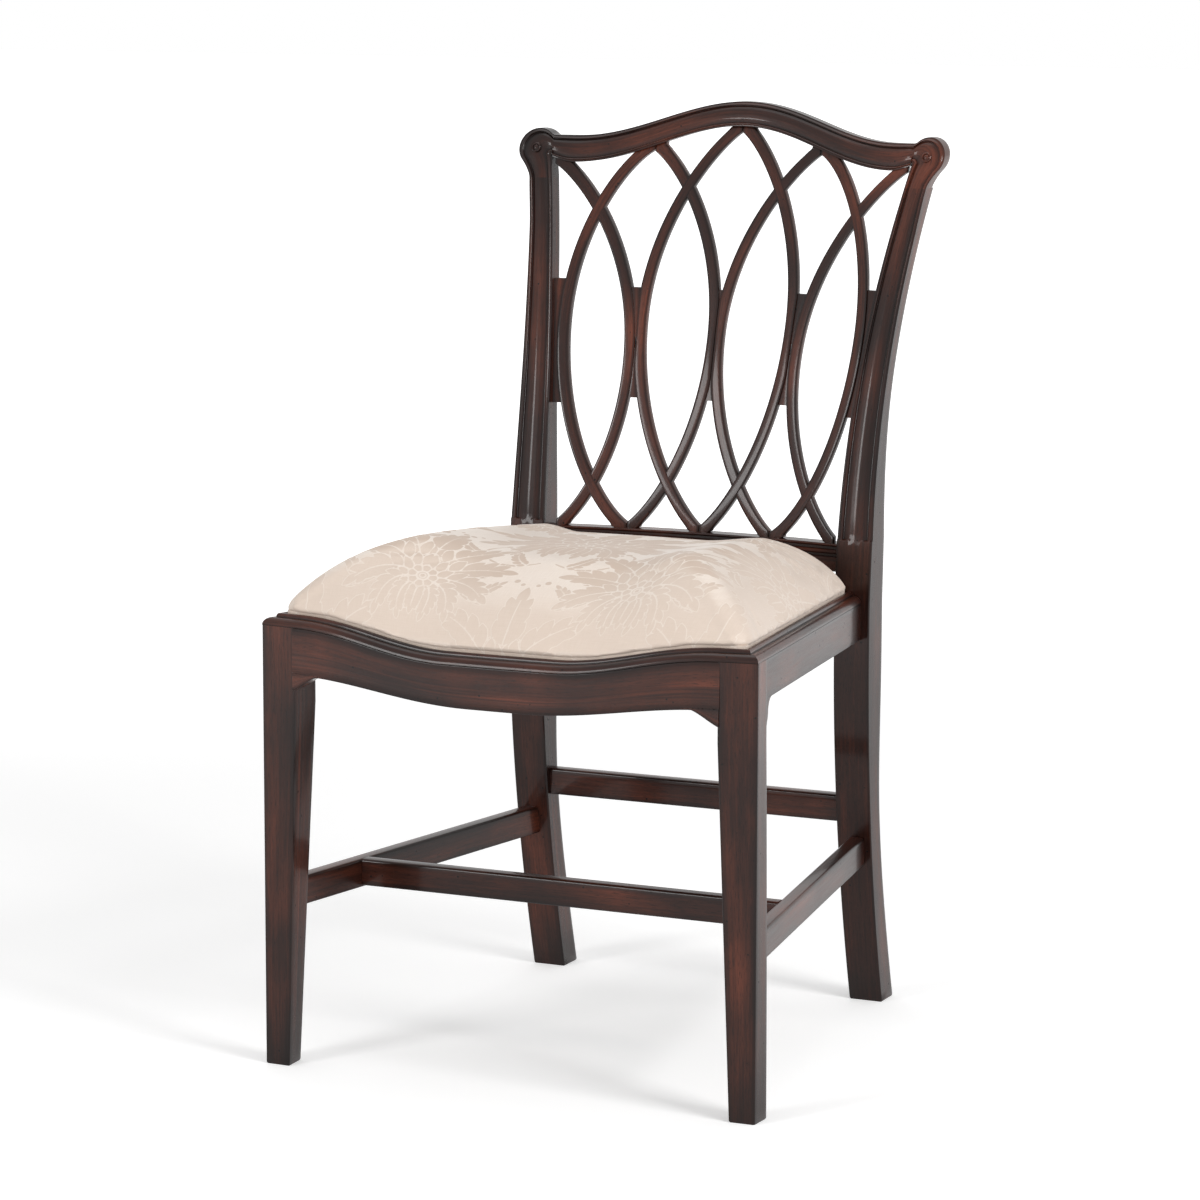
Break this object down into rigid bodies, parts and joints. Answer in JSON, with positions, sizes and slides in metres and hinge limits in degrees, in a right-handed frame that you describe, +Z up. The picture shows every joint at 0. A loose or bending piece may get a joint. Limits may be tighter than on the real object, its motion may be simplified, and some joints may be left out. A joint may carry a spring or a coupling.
{
  "type": "dining chair",
  "caption": "Dining chair with a mahogany frame, a curved trellis back under a moulded, eared crest rail, square tapered legs, stretchers and a lift-out seat in ivory damask",
  "frame": {"origin": "on the floor, under the middle of the chair's bounding box", "axes": "+X to the right as seen from the front, +Y to the back of the chair, +Z up; the front of the chair faces -Y"},
  "size_m": [0.5568, 0.6588, 0.984],
  "materials": {
    "mahogany": "satin",
    "beech": "matte",
    "damask": "satin",
    "webbing": "matte",
    "foam": "matte",
    "screws": "satin",
    "dust_cloth": "matte"
  },
  "bodies": {
    "frame": {"front_leg_left": "mahogany", "front_leg_right": "mahogany", "back_post_left": "mahogany", "back_post_right": "mahogany", "front_seat_rail": "mahogany", "side_seat_rail_left": "mahogany", "side_seat_rail_right": "mahogany", "back_seat_rail": "mahogany", "seat_moulding_front": "mahogany", "seat_moulding_left": "mahogany", "seat_moulding_right": "mahogany", "knee_bracket_front_left": "mahogany", "knee_bracket_front_right": "mahogany", "knee_bracket_side_left": "mahogany", "knee_bracket_side_right": "mahogany", "corner_block_front_left": "beech", "corner_block_front_right": "beech", "corner_block_back_left": "beech", "corner_block_back_right": "beech", "corner_block_screws": "screws", "crest_rail": "mahogany", "lower_back_rail": "mahogany", "lath_1": "mahogany", "lath_2": "mahogany", "lath_3": "mahogany", "lath_4": "mahogany", "lath_5": "mahogany", "lath_6": "mahogany", "lath_7": "mahogany", "lath_8": "mahogany", "post_spacer_left": "mahogany", "post_spacer_right": "mahogany", "lath_spacers": "mahogany", "side_stretcher_left": "mahogany", "side_stretcher_right": "mahogany", "medial_stretcher": "mahogany", "rear_stretcher": "mahogany"},
    "seat": {"seat_frame_front": "beech", "seat_frame_back": "beech", "seat_frame_left": "beech", "seat_frame_right": "beech", "seat_webbing": "webbing", "foam_pad": "foam", "damask_cover": "damask", "dust_cover": "dust_cloth"}
  },
  "joints": [
    {"name": "seat_lift", "type": "slide", "parent": "frame", "child": "seat", "axis": [0, 0, 1], "range_m": [0, 0.06]}
  ]
}
